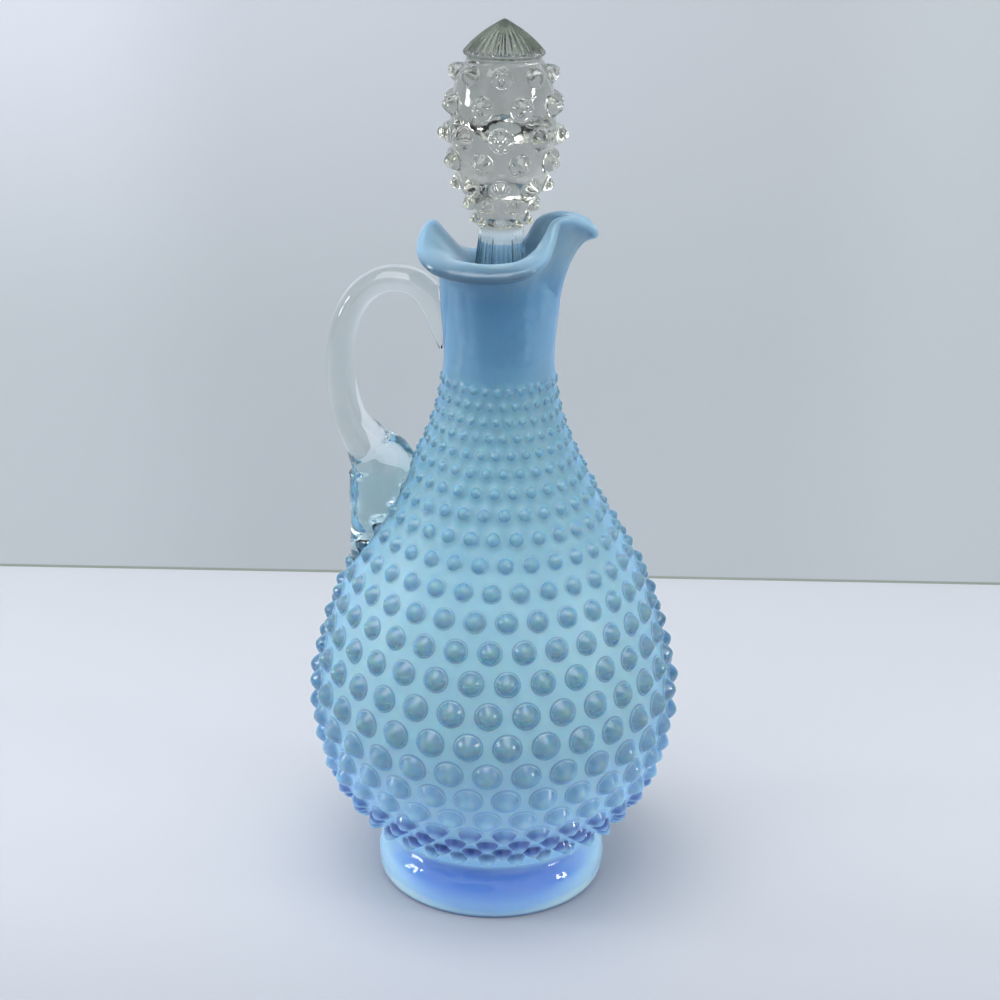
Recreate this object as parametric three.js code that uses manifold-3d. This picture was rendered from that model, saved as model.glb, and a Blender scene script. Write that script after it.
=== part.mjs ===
// Hobnail glass decanter: a mould-blown body on a collar foot, a clear applied handle,
// and a pressed stopper whose ground peg sits in the tapered bore of the neck.
// Millimetres, +Z up. The origin is the centre of the foot's resting ring.
// The pouring lip points to +X and the handle to -X.
import * as THREE from "three";
import Module from "manifold-3d";

// Body
const HOBS_AROUND = 30;
const HOB_ROWS = 23;
const TOP_ROW_Z = 186.6;
// Steps along the skin from one row of hobs to the next, by row from the top.
const ROW_STEPS = {
  rows: [0, 4, 8, 12, 15, 17, 19, 22],
  steps: [4.9, 6, 8.6, 10.3, 10.6, 8.9, 6.2, 4.6],
};
const HOB_BASE = 0.345; // base radius, as a share of the pitch around the body
const HOB_HEIGHT = 0.285; // height, as a share of the same pitch
const LOW_HOBS = { rows: 8, height: 3.7 }; // the lowest rows, which keep the widest row's height
const OPEN_ROWS = { from: 3, to: 12 }; // the big rows, which show flat skin between the hobs
const WAIST = { r: 39, z: 20 };
const FOOT_REST = { inner: 34.8, outer: 38.6 };
const FOOT_BELLY = { r: 40.9, z: 5.2 };
const NECK_TOP_Z = 212;
const NECK_TOP_RADIUS = 20;

// Neck bore and stopper, from the same taper
const SEAT = { topZ: 218, topRadius: 9.5, bottomZ: 194, bottomRadius: 8.1 };
const SEAT_GAP = 0.3;
const LIP_THICKNESS = 3.8;
const STOPPER_TOP_Z = 305;
const STOPPER_HOBS_AROUND = 10;

// Handle
const FUSION_GAP = 0.3;

const TURN = 2 * Math.PI;
const END_MARGIN = 0.62; // plain skin beyond the end rows of hobs, as a share of the row step
const SEGMENTS = 2 * HOBS_AROUND;

// A closed surface built ring by ring, from the middle of the underside, outwards and up,
// over the rim, and down the inside. Rings run anticlockwise seen from above.
class Skin {
  constructor() {
    this.points = [];
    this.faces = [];
  }

  add(point) {
    this.points.push(point);
    return this.points.length - 1;
  }

  ring(count, pointAt) {
    return Array.from({ length: count }, (_, j) => this.add(pointAt((j / count) * TURN, j)));
  }

  circle(count, r, z) {
    return this.ring(count, (a) => new THREE.Vector3(r * Math.cos(a), r * Math.sin(a), z));
  }

  // The band from ring a to ring b. One may have half as many points as the other.
  band(a, b) {
    const n = Math.max(a.length, b.length);
    const pick = (ring, j) => ring[Math.floor((j % n) * (ring.length / n))];
    for (let j = 0; j < n; j++) {
      const [p, q, r, s] = [pick(a, j), pick(a, j + 1), pick(b, j + 1), pick(b, j)];
      if (p !== q) this.faces.push([p, q, r]);
      if (r !== s) this.faces.push([p, r, s]);
    }
    return b;
  }

  fanOut(centre, ring) {
    ring.forEach((p, j) => this.faces.push([centre, ring[(j + 1) % ring.length], p]));
    return ring;
  }

  fanIn(ring, centre) {
    ring.forEach((p, j) => this.faces.push([p, ring[(j + 1) % ring.length], centre]));
  }

  geometry() {
    const made = new THREE.BufferGeometry().setFromPoints(this.points);
    return made.setIndex(this.faces.flat());
  }
}

// One hob in its hexagonal cell between a lower and an upper ring. With a flat skin around it the
// hob has a base ring of its own, and otherwise it rises straight from the cell's outline.
function addHob(skin, lower, upper, middle, { tip, basePoint }) {
  const at = (ring, j) => ring[(middle + j + ring.length) % ring.length];
  const outline = [-1, 0, 1].map((j) => at(lower, j)).concat([1, 0, -1].map((j) => at(upper, j)));
  const next = (ring, i) => ring[(i + 1) % ring.length];
  let foot = outline;
  if (basePoint) {
    foot = outline.map((p) => skin.add(basePoint(skin.points[p])));
    outline.forEach((p, i) => {
      skin.faces.push([p, next(outline, i), next(foot, i)], [p, next(foot, i), foot[i]]);
    });
  }
  const top = skin.add(tip);
  foot.forEach((p, i) => skin.faces.push([p, next(foot, i), top]));
}

// A revolved profile of [r, z] points, with its place and outward normal by arc length u and angle.
class Revolve {
  constructor(points) {
    this.curve = new THREE.SplineCurve(points.map(([r, z]) => new THREE.Vector2(r, z)));
    this.curve.arcLengthDivisions = 1200;
    this.length = this.curve.getLength();
  }

  // The arc length share at which the profile reaches a height.
  shareAt(z) {
    let [low, high] = [0, 1];
    for (let i = 0; i < 40; i++) {
      const middle = (low + high) / 2;
      if (this.curve.getPointAt(middle).y < z) low = middle;
      else high = middle;
    }
    return low;
  }

  at(u, angle, proud = 0) {
    const p = this.curve.getPointAt(THREE.MathUtils.clamp(u, 0, 1));
    const t = this.curve.getTangentAt(THREE.MathUtils.clamp(u, 0, 1));
    const r = p.x + proud * t.y;
    return new THREE.Vector3(r * Math.cos(angle), r * Math.sin(angle), p.y - proud * t.x);
  }

  radius(u) {
    return this.curve.getPointAt(u).x;
  }
}

// A field of hobs in staggered rows over a revolved profile, from the ring start upwards. rows
// holds each row's share of the profile's arc length, from the bottom up. Returns the last ring.
function hobField(skin, profile, rows, start, options) {
  const { around, stagger = 0, grow = 0, base, height, openSkin } = options;
  const ends = [rows[0], rows.at(-1)];
  const [first, last] = [rows[1] - rows[0], rows.at(-1) - rows.at(-2)];
  const low = Math.max(0, ends[0] - END_MARGIN * first);
  const high = Math.min(1, ends[1] + END_MARGIN * last);
  const bounds = [low, ...rows.slice(1).map((u, i) => (u + rows[i]) / 2), high];
  let lower = skin.band(start, skin.ring(2 * around, (a) => profile.at(low, a, grow)));
  rows.forEach((u, i) => {
    const gap = bounds[i + 1] - bounds[i];
    const zigzag = i === rows.length - 1 ? 0 : gap / 6;
    const upper = skin.ring(2 * around, (a, j) =>
      profile.at(bounds[i + 1] + ((i + j + stagger) % 2 ? -zigzag : zigzag), a, grow),
    );
    const pitch = (TURN * profile.radius(u)) / around;
    const foot = {
      wide: base * pitch + grow,
      tall: Math.min(base * pitch, 0.5 * gap * profile.length) + grow,
    };
    for (let k = 0; k < around; k++) {
      const middle = 2 * k + ((i + stagger) % 2);
      const angle = (middle / (2 * around)) * TURN;
      const basePoint = (p) => {
        const centre = profile.at(u, angle, grow);
        const away = p.clone().sub(centre);
        const side = away.dot(new THREE.Vector3(-Math.sin(angle), Math.cos(angle), 0));
        const along = Math.sign(away.z) * Math.sqrt(Math.max(0, away.lengthSq() - side ** 2));
        const scale = 1 / Math.hypot(side / foot.wide, along / foot.tall);
        const turned = angle + (side * scale) / Math.hypot(centre.x, centre.y);
        return profile.at(u + (along * scale) / profile.length, turned, grow);
      };
      const tip = profile.at(u, angle, height(pitch, i) + grow);
      addHob(skin, lower, upper, middle, { tip, basePoint: openSkin(i) ? basePoint : null });
    }
    lower = upper;
  });
  return lower;
}

// The body's outer skin from the foot's waist to the top of the neck.
const BODY = new Revolve([
  [WAIST.r, WAIST.z],
  [46.4, 29.4],
  [56.8, 46],
  [61.9, 68],
  [60.4, 86],
  [51.3, 115],
  [34.6, 145],
  [22.6, 171],
  [18.8, 192],
  [NECK_TOP_RADIUS, NECK_TOP_Z],
]);

// The hollow from the bottom of the ground seat to the floor of the body.
const HOLLOW = new THREE.SplineCurve(
  [
    [SEAT.bottomRadius, SEAT.bottomZ],
    [9.6, 184],
    [15.5, 170],
    [27.5, 147],
    [46, 115],
    [56, 86],
    [57.2, 67],
    [51.5, 46],
    [38, 27],
    [20, 19],
    [6, 17.2],
  ].map(([r, z]) => new THREE.Vector2(r, z)),
);

function polar(r, angle, z) {
  return new THREE.Vector3(r * Math.cos(angle), r * Math.sin(angle), z);
}

// The middle of the mouth's rounded edge, once around from the pouring lip by way of +Y:
// [x, y, z, the lip's run-out above level in degrees]. The two sides are rolled out and down, the
// back stands up over the handle, and the pouring lip is a narrow channel. It is shaped by hand,
// so the +Y side is the smaller one.
const RIM = [
  [30.2, 0, 236.4, 8],
  [27.8, 3, 239, 35],
  [22.8, 4.6, 240.5, 70],
  [17.6, 5.4, 240.3, 80],
  [12.6, 8, 238, 70],
  [10.4, 13, 231, 30],
  [7.6, 18, 226.6, 0],
  [1, 22.6, 223.4, -25],
  [-8, 23.6, 222.4, -30],
  [-15, 19, 224, -18],
  [-19.2, 11.4, 229.6, 20],
  [-22.4, 2.6, 237.4, 50],
  [-24.6, -4.4, 236, 45],
  [-25.2, -11.5, 231.8, 15],
  [-21.6, -19.6, 228.2, -10],
  [-13, -25.2, 226.2, -28],
  [-2, -26.6, 225.8, -32],
  [8.6, -24, 227.2, -25],
  [13.8, -18.2, 230.4, 0],
  [16, -12, 235, 40],
  [18, -6, 240.2, 75],
  [22.8, -4.6, 241, 70],
  [27.6, -3, 239.2, 35],
];
const RIM_LINE = new THREE.CatmullRomCurve3(RIM.map((p) => new THREE.Vector3(...p)), true);
const RIM_TILT = new THREE.CatmullRomCurve3(
  RIM.map(([, , , tilt]) => new THREE.Vector3(THREE.MathUtils.degToRad(tilt), 0, 0)),
  true,
  "catmullrom",
);
const UP = new THREE.Vector3(0, 0, 1);

// The lip at a share of the rim's length: its outer and inner faces run from the neck and from the
// seat to the two sides of the rounded edge.
function lipAt(share, angle, grow) {
  const t = RIM_LINE.getUtoTmapping(share);
  const middle = RIM_LINE.getPoint(t);
  const along = RIM_LINE.getTangent(t);
  const level = new THREE.Vector3(along.y, -along.x, 0).normalize();
  const tilt = RIM_TILT.getPoint(t).x;
  const out = level.clone().multiplyScalar(Math.cos(tilt)).addScaledVector(UP, Math.sin(tilt));
  const over = UP.clone().multiplyScalar(Math.cos(tilt)).addScaledVector(level, -Math.sin(tilt));
  const half = LIP_THICKNESS / 2 + grow;
  const under = middle.clone().addScaledVector(over, -half);
  const top = middle.clone().addScaledVector(over, half);
  const neck = polar(NECK_TOP_RADIUS + grow, angle, NECK_TOP_Z);
  const seat = polar(SEAT.topRadius, angle, SEAT.topZ);
  const throat = polar(SEAT.topRadius + 2, angle, SEAT.topZ + 10);
  return {
    outer: new THREE.CubicBezierCurve3(
      neck,
      neck.clone().addScaledVector(UP, 8),
      under.clone().addScaledVector(out, -7),
      under,
    ),
    inner: new THREE.CubicBezierCurve3(seat, throat, top.clone().addScaledVector(out, -9), top),
    edge: (turn) =>
      middle
        .clone()
        .addScaledVector(over, -half * Math.cos(turn * Math.PI))
        .addScaledVector(out, half * Math.sin(turn * Math.PI)),
  };
}

// The rows' shares of the skin's length, from the bottom up.
function bodyRows() {
  const step = new THREE.CubicInterpolant(ROW_STEPS.rows, ROW_STEPS.steps, 1);
  let u = BODY.shareAt(TOP_ROW_Z);
  const rows = [u];
  for (let i = 0; i < HOB_ROWS - 1; i++) {
    u -= step.evaluate(i)[0] / BODY.length;
    rows.unshift(u);
  }
  return rows;
}

// The body as a hollow vessel, or as a solid of its outside grown by grow.
function bodyGeometry({ grow = 0, hollow = true } = {}) {
  const skin = new Skin();
  // Underside: a shallow dome inside the resting ring, then the collar foot's rounded side.
  const centre = skin.add(new THREE.Vector3(0, 0, 6.6 - grow));
  let ring = skin.fanOut(centre, skin.circle(HOBS_AROUND, 18, 6 - grow));
  const foot = [
    [29.5, 3.8],
    [FOOT_REST.inner - 1, 0.8],
    [FOOT_REST.inner, 0],
    [FOOT_REST.outer, 0],
    [FOOT_BELLY.r - 0.7, 1.6],
    [FOOT_BELLY.r, FOOT_BELLY.z],
    [FOOT_BELLY.r - 0.1, 9],
    [FOOT_BELLY.r - 0.8, 14.5],
  ];
  for (const [r, z] of foot) {
    const [out, down] = [z > 1 ? grow : 0, z < 5 ? grow : 0];
    ring = skin.band(ring, skin.circle(SEGMENTS, r + out, z - down));
  }
  ring = skin.band(ring, skin.ring(SEGMENTS, (a) => BODY.at(0, a, grow)));
  ring = hobField(skin, BODY, bodyRows(), ring, {
    around: HOBS_AROUND,
    stagger: 1,
    grow,
    base: HOB_BASE,
    height: (pitch, row) => Math.max(HOB_HEIGHT * pitch, row < LOW_HOBS.rows ? LOW_HOBS.height : 0),
    openSkin: (row) => row >= OPEN_ROWS.from && row <= OPEN_ROWS.to,
  });
  const top = BODY.shareAt(TOP_ROW_Z);
  for (const share of [0.6, 1]) {
    ring = skin.band(ring, skin.ring(SEGMENTS, (a) => BODY.at(top + (1 - top) * share, a, grow)));
  }
  const lip = Array.from({ length: SEGMENTS }, (_, j) => {
    return lipAt(j / SEGMENTS, (j / SEGMENTS) * TURN, grow);
  });
  for (const t of [0.3, 0.55, 0.78, 1]) {
    ring = skin.band(ring, skin.ring(SEGMENTS, (a, j) => lip[j].outer.getPoint(t)));
  }
  for (const turn of [0.35, 0.7, 1]) {
    ring = skin.band(ring, skin.ring(SEGMENTS, (a, j) => lip[j].edge(turn)));
  }
  if (!hollow) {
    skin.fanIn(ring, skin.add(new THREE.Vector3(0, 0, 233)));
    return skin.geometry();
  }
  for (const t of [0.75, 0.5, 0.25, 0]) {
    ring = skin.band(ring, skin.ring(SEGMENTS, (a, j) => lip[j].inner.getPoint(t)));
  }
  const hollowSteps = 12;
  for (let i = 0; i <= hollowSteps; i++) {
    const p = HOLLOW.getPoint(i / hollowSteps);
    ring = skin.band(ring, skin.circle(HOBS_AROUND, p.x, p.y));
  }
  skin.fanIn(ring, skin.add(new THREE.Vector3(0, 0, 17)));
  return skin.geometry();
}

// Stopper: ground peg, waist with fine flutes, hobbed knob and ribbed pointed cap.
const KNOB = new Revolve([
  [7.6, 238.2],
  [9.3, 243],
  [12, 249],
  [15.2, 257],
  [16.9, 267],
  [16.9, 277],
  [15.2, 286],
  [11.8, 292],
]);
const KNOB_ROW_Z = [241, 246.2, 252.2, 259.4, 267.6, 277, 287];
const PEG = { bottomZ: 189.5, collarZ: 236.6, collarRadius: 7.5 };
const CAP = { z: 294.6, radius: 12.7, ribs: 20 };

function stopperGeometry() {
  const skin = new Skin();
  const around = 4 * STOPPER_HOBS_AROUND;
  const taper = (z) =>
    THREE.MathUtils.mapLinear(z, SEAT.bottomZ, SEAT.topZ, SEAT.bottomRadius, SEAT.topRadius) - SEAT_GAP;
  let ring = skin.fanOut(
    skin.add(new THREE.Vector3(0, 0, PEG.bottomZ)),
    skin.circle(around / 2, 5, PEG.bottomZ),
  );
  ring = skin.band(ring, skin.circle(around, 6.9, PEG.bottomZ + 0.7));
  ring = skin.band(ring, skin.circle(around, taper(PEG.bottomZ + 2.6), PEG.bottomZ + 2.6));
  ring = skin.band(ring, skin.circle(around, taper(SEAT.topZ), SEAT.topZ));
  const ribbed = (r, z, depth) => skin.ring(around, (a, j) => polar(r - (j % 2) * depth, a, z));
  ring = skin.band(ring, ribbed(taper(SEAT.topZ), SEAT.topZ + 3, 0.3));
  ring = skin.band(ring, ribbed(PEG.collarRadius + 1.2, PEG.collarZ - 7.6, 0.35));
  ring = skin.band(ring, ribbed(PEG.collarRadius, PEG.collarZ - 0.6, 0.35));
  ring = skin.band(ring, skin.circle(around, PEG.collarRadius + 0.4, PEG.collarZ));
  const rows = KNOB_ROW_Z.map((z) => KNOB.shareAt(z));
  ring = hobField(skin, KNOB, rows, ring, {
    around: STOPPER_HOBS_AROUND,
    base: 0.36,
    height: (pitch) => 0.4 * pitch,
    openSkin: () => true,
  });
  ring = skin.band(ring, skin.circle(around, CAP.radius - 0.9, CAP.z - 1.2));
  ring = skin.band(ring, ribbed(CAP.radius, CAP.z, 0.7));
  ring = skin.band(ring, ribbed(8, 299.2, 0.5));
  ring = skin.band(ring, skin.circle(around / 2, 2.2, 303.4));
  skin.fanIn(ring, skin.add(new THREE.Vector3(0, 0, STOPPER_TOP_Z)));
  return skin.geometry();
}

// The handle's stations along its middle line, from the tail on the neck, over the arch, and
// down to the pad on the shoulder: [x, z, thickness in the handle's plane, width across it].
const HANDLE = [
  [-19.6, 196.4, 1.6, 4],
  [-20.2, 204, 7, 9],
  [-22.6, 212.4, 9.6, 12.5],
  [-29.2, 218.8, 9.2, 13.5],
  [-38.4, 219.4, 9, 13],
  [-46, 214.8, 9, 12.5],
  [-51.2, 206, 9.4, 12.5],
  [-53.6, 194, 9.8, 12.5],
  [-53, 181, 10.4, 13],
  [-49.8, 169.6, 11.6, 14],
  [-44.2, 161.4, 16.4, 17],
  [-39.6, 154, 23.6, 21],
  [-40.2, 142, 22, 22],
  [-43.4, 131.4, 15.6, 19],
  [-47, 123.6, 8.6, 13],
  [-49.4, 119.4, 3, 6],
];

function handleLoft() {
  const skin = new Skin();
  const line = new THREE.CatmullRomCurve3(HANDLE.map(([x, z]) => new THREE.Vector3(x, 0, z)));
  const size = new THREE.CatmullRomCurve3(HANDLE.map(([, , t, w]) => new THREE.Vector3(t, w, 0)));
  const stations = 32;
  const sides = 14;
  const across = new THREE.Vector3(0, 1, 0);
  const ringAt = (share) => {
    const centre = line.getPoint(share);
    const tangent = line.getTangent(share);
    const normal = new THREE.Vector3().crossVectors(across, tangent);
    const { x: thick, y: wide } = size.getPoint(share);
    return skin.ring(sides, (a) =>
      centre
        .clone()
        .addScaledVector(normal, (thick / 2) * Math.cos(a))
        .addScaledVector(across, (wide / 2) * Math.sin(a)),
    );
  };
  let ring = skin.fanOut(skin.add(line.getPoint(0)), ringAt(0));
  for (let i = 1; i <= stations; i++) ring = skin.band(ring, ringAt(i / stations));
  skin.fanIn(ring, skin.add(line.getPoint(1)));
  return skin.geometry();
}

const wasm = await Module();
wasm.setup();

function toSolid(geometry) {
  return new wasm.Manifold(
    new wasm.Mesh({
      numProp: 3,
      vertProperties: geometry.getAttribute("position").array,
      triVerts: new Uint32Array(geometry.index.array),
    }),
  );
}

function toGeometry(solid) {
  const { numProp, vertProperties, triVerts } = solid.getMesh();
  const points = Array.from({ length: vertProperties.length / numProp }, (_, i) =>
    new THREE.Vector3().fromArray(vertProperties, i * numProp),
  );
  return new THREE.BufferGeometry().setFromPoints(points).setIndex([...triVerts]);
}

// The handle is fused to the neck and over the hobs of the shoulder, so its two ends are cut to
// the body's outside.
function handleGeometry() {
  const outside = toSolid(bodyGeometry({ grow: FUSION_GAP, hollow: false }));
  const pieces = toSolid(handleLoft()).subtract(outside).decompose();
  const largest = pieces.reduce((a, b) => (b.volume() > a.volume() ? b : a));
  return toGeometry(largest);
}

const opalBlue = new THREE.MeshStandardMaterial({
  color: "#8fbfe4", roughness: 0.12, metalness: 0, transparent: true, opacity: 0.85,
});
const clearGlass = new THREE.MeshStandardMaterial({
  color: "#e8efee", roughness: 0.04, metalness: 0, transparent: true, opacity: 0.35,
});

function named(name, geometry, material) {
  const flat = geometry.toNonIndexed();
  flat.computeVertexNormals();
  const mesh = new THREE.Mesh(flat, material);
  mesh.name = name;
  return mesh;
}

const decanter = new THREE.Group();
decanter.name = "hobnail_decanter";
decanter.add(
  named("body", bodyGeometry(), opalBlue),
  named("handle", handleGeometry(), clearGlass),
  named("stopper", stopperGeometry(), clearGlass),
);

export default decanter;
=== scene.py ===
"""A hobnail glass decanter: an opalescent blue body on a collar foot, with a hand-tooled lip, a
clear applied handle and a clear pressed stopper. Laid out as a Blender add-on, run as a script.
Lengths in the tables are millimetres, apart from those of the stage and the glass's zones, and
the meshes are metres, with +Z up and the lip to +X."""

import math
from types import SimpleNamespace

import bmesh
import bpy
import numpy as np
from bpy.props import FloatProperty, FloatVectorProperty, PointerProperty
from mathutils import Matrix, Vector


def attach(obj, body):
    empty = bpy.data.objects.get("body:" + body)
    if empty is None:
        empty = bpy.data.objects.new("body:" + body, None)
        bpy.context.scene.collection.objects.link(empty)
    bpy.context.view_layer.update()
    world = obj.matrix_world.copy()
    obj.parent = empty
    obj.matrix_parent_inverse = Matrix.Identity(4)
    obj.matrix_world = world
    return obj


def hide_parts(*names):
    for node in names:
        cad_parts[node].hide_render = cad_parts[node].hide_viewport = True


bl_info = {
    "name": "Hobnail decanter",
    "version": (1, 0, 0),
    "blender": (4, 5, 0),
    "location": "View3D > Sidebar > Decanter",
    "description": "Builds a hobnail glass decanter with its handle and stopper",
    "category": "Object",
}

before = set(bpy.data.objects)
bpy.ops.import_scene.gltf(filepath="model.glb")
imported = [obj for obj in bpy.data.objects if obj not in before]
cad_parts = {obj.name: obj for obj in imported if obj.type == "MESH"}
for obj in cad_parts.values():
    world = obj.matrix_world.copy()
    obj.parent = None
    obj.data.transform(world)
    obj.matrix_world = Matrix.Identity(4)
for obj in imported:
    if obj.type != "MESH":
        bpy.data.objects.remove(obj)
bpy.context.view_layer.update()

MM = 0.001
TURN = 2 * math.pi
PLAIN = 2.0  # the reach of glass with no hob
INSIDE = 4.0  # the reach that marks the inner wall
LINE_STEPS = 6000  # steps in which a line's length is measured
SMALL_STEP = 1e-4  # step along a line for its direction
WELD = 2e-6  # points nearer than this are one, in metres
RELIEF_STEPS = 1500  # places along the skin that are searched for the nearest

# Body skin from the foot's waist to the top of the neck, as radius and height.
BODY_SKIN = [
    (39, 20), (46.4, 29.4), (56.8, 46), (61.9, 68), (60.4, 86),
    (51.3, 115), (34.6, 145), (22.6, 171), (18.8, 192), (20, 212),
]
HOLLOW = [
    (8.1, 194), (9.6, 184), (15.5, 170), (27.5, 147), (46, 115), (56, 86),
    (57.2, 67), (51.5, 46), (38, 27), (20, 19), (6, 17.2), (0, 17),
]
UNDERSIDE = [(0, 6.6), (10, 6.4), (18, 6), (25, 5), (30.5, 3.2), (33, 1.4), (34.2, 0.3), (34.8, 0)]
FOOT_SIDE = [
    (38.4, 0), (39.3, 0.3), (40.1, 1.3), (40.7, 3), (41, 5.6), (41, 8.6), (40.4, 11.4),
    (38.9, 13.9), (37.1, 15.8), (36.3, 17.4), (36.9, 18.9), (39, 20),
]
# Points around the body and around its hollow, and rings on each stretch of its profile.
COLUMNS = 180
HOLLOW_COLUMNS = 90
UNDERSIDE_RINGS = 16
FOOT_RINGS = 22
NECK_RINGS = 8
HOLLOW_RINGS = 48

# The body's rows of hobs. The lowest ones have a least height, and the big ones have more rings.
HOB_ROWS = 23
HOBS_AROUND = 30
HOB_SIDE_POINTS = 3  # points on each side of a hob's hexagonal cell
HOB_ROUNDING = 1.8  # 1 makes a pointed cone, and more makes it rounder
LOW_ROWS = 8
LOW_RISE = 3.67
BIG_ROWS = 14
# The rings of a hob, by reach: 0 is its tip and 1 its foot.
BIG_REACHES = [0.18, 0.42, 0.66, 0.86, 1.0, 1.08]
SMALL_REACHES = [0.3, 0.65, 0.9, 1.0]
# Rows from the bottom, and how many times as broad and as high their hobs are.
BROADER = ([0, 4, 9], [1.16, 1.12, 1])
HIGHER = ([14, 20], [1, 0.78])
# The top row's height, and rows from the top with the steps down from them.
TOP_ROW_Z = 186.6
ROW_AT = [0, 4, 8, 12, 15, 17, 19, 22]
ROW_STEP = [4.9, 6, 8.6, 10.3, 10.6, 8.9, 6.2, 4.6]
END_MARGIN = 0.62  # how far the lattice runs past its end rows, as a share of a step

# The middle of the mouth's rounded edge, once around: x, y, z and run-out above level in degrees.
RIM = [
    (30.2, 0, 236.4, 8), (27.8, 3, 239, 35), (22.8, 4.6, 240.5, 70), (17.6, 5.4, 240.3, 80),
    (12.6, 8, 238, 70), (10.4, 13, 231, 30), (7.6, 18, 226.6, 0), (1, 22.6, 223.4, -25),
    (-8, 23.6, 222.4, -30), (-15, 19, 224, -18), (-19.2, 11.4, 229.6, 20),
    (-22.4, 2.6, 237.4, 50), (-24.6, -4.4, 236, 45), (-25.2, -11.5, 231.8, 15),
    (-21.6, -19.6, 228.6, -10), (-13, -25.2, 227.1, -28), (-2, -26.6, 226.7, -32),
    (8.6, -24, 228.1, -25), (13.8, -18.2, 230.7, 0), (16, -12, 235, 40), (18, -6, 240.2, 75),
    (22.8, -4.6, 241, 70), (27.6, -3, 239.2, 35),
]
NECK_TOP = (20, 212)
SEAT_TOP = (9.5, 218)
# How far the lip's two faces run on from the neck, the throat and the rim before they bend.
NECK_RUN = 8
THROAT_RUN = (2, 10)
OUTER_RUN = 7
INNER_RUN = 9
# Rings of the outer face, the rounded edge and the inner face, and of the painted shade under
# the lip's edge on them.
LIP_RINGS = (14, 8, 12)
LIP_SHADE_RINGS = (4, 3)
LIP_SHADE_SHARE = 0.3  # drop at the end of the rounded edge

# The stopper's knob, and the heights of its rows of hobs.
KNOB = [
    (7.6, 238.2), (9.3, 243), (12, 249), (15.2, 257), (16.9, 267), (16.9, 277), (15.4, 286),
    (12.2, 292),
]
KNOB_ROW_Z = [240.6, 246.4, 252.8, 260.8, 268.8, 278.6, 288]
KNOB_AROUND = 8
KNOB_SIDE_POINTS = 12
KNOB_HOBS = {"base": 0.3, "height": 0.325}  # shares of the pitch around
RIBS = 32  # of the cap and the shank

# Stopper sections below the knob and of the cap: height, radius and depth of the ribs.
PEG_BOTTOM = (5, 189.5)
PEG = [
    (190.2, 7.2, 0), (191, 7.8, 0), (192.1, 8, 0), (200, 8.64, 0), (209, 9.07, 0), (218, 9.5, 0),
    (219.5, 9.4, 0), (221, 9.3, 0.3), (225, 8.9, 0.35), (229, 8.5, 0.35), (233, 8, 0.35),
    (236, 7.6, 0.35), (236.6, 7.8, 0),
]
CAP = [
    (293.4, 12.2, 0), (293.7, 12.9, 0.3), (294.2, 13.3, 0.7), (294.9, 13.2, 0.8),
    (296, 12.2, 0.55), (298, 10.3, 0.45), (300, 8, 0.4), (302, 5.2, 0.3), (303.4, 2.9, 0.2),
    (304.5, 1.1, 0),
]
CAP_TOP = 305

# Handle stations: x, z, thickness in the handle's plane and width across it.
HANDLE = [
    (-19.6, 196.4, 1.6, 4), (-20.2, 204, 7, 9), (-22.6, 212.4, 9.6, 12.5),
    (-29.2, 218.8, 9.2, 13.5), (-38.4, 219.4, 9, 13), (-46, 214.8, 9, 12.5),
    (-51.2, 206, 9.4, 12.5), (-53.6, 194, 9.8, 12.5), (-53, 181, 10.4, 13),
    (-49.8, 169.6, 11.6, 14), (-44.2, 161.4, 16.4, 17), (-39.6, 154, 23.6, 21),
    (-40.2, 142, 22, 22), (-43.4, 131.4, 15.6, 19), (-47, 123.6, 8.6, 13),
    (-49.4, 119.4, 3, 6),
]
HANDLE_STATIONS = 220
HANDLE_SIDES = 60
FUSION_GAP = 0.3  # between the handle and the body

# Camera: distance from the axis, height, lens on a 36 mm sensor, and angles in degrees.
CAMERA = {
    "distance": 641.64, "height": 378.57, "lens": 71.28,
    "azimuth": 1.5, "pitch": 20.2246, "yaw": 0.09825, "roll": 0.98,
}

# The stage, in metres.
TABLE_SIDE = 3
TABLE_BACK = 1
WALL_DISTANCE = 0.2765
WALL_TURN = 0.02  # how much farther the wall is per length to the right
WALL_SIDE = 0.8
WALL_HEIGHT = 1.1
VIEWER = (-0.25, -0.93, 0.27)  # towards the dark patch of the room

# Lamps, in metres: name, place, the point aimed at, size, power in watts and colour.
LOW_AIM = (0, 0, 0.12)
COOL, WARM = (0.95, 0.98, 1.0), (1.0, 0.98, 0.95)
LAMPS = [
    ("left_window_top", (-1.5, -0.1, 0.72), LOW_AIM, (0.30, 0.24), 3.6, COOL),
    ("left_window", (-1.5, -0.1, 0.40), LOW_AIM, (0.30, 0.24), 3.6, COOL),
    ("right_window_top", (1.63, -0.47, 0.66), LOW_AIM, (0.24, 0.2), 3.2, WARM),
    ("right_window", (1.63, -0.47, 0.40), LOW_AIM, (0.24, 0.2), 3.2, WARM),
    ("ceiling", (-0.2, -0.5, 1.9), (0, 0, 0.1), (1.6, 1.6), 30, (0.97, 0.98, 1.0)),
]

# Heights in metres from where a zone of the body's glass starts to where it is full.
ZONE_FADES = {
    "foot": (0.021, 0.0195), "sole": (0.0022, 0.0008), "low": (0.085, 0.035),
    "shoulder": (0.10, 0.16), "neck": (0.178, 0.2), "rim": (0.214, 0.232),
}
# Heights in metres where a band starts, is full, starts to fade and ends.
WAIST_BAND = (0.004, 0.0125, 0.0155, 0.0195)
FOOT_HIGHLIGHT_BAND = (0.0014, 0.0026, 0.004, 0.006)
VIOLET_BAND = (0.0275, 0.032, 0.0415, 0.045)
LIP_SHADE_BAND = (0.2205, 0.2225, 0.228, 0.233)
MILK_DEPTH = (0.002, 0.004, 0.006)  # how far red, green and blue light spreads in the milk
GLASS_IOR = 1.5


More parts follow.
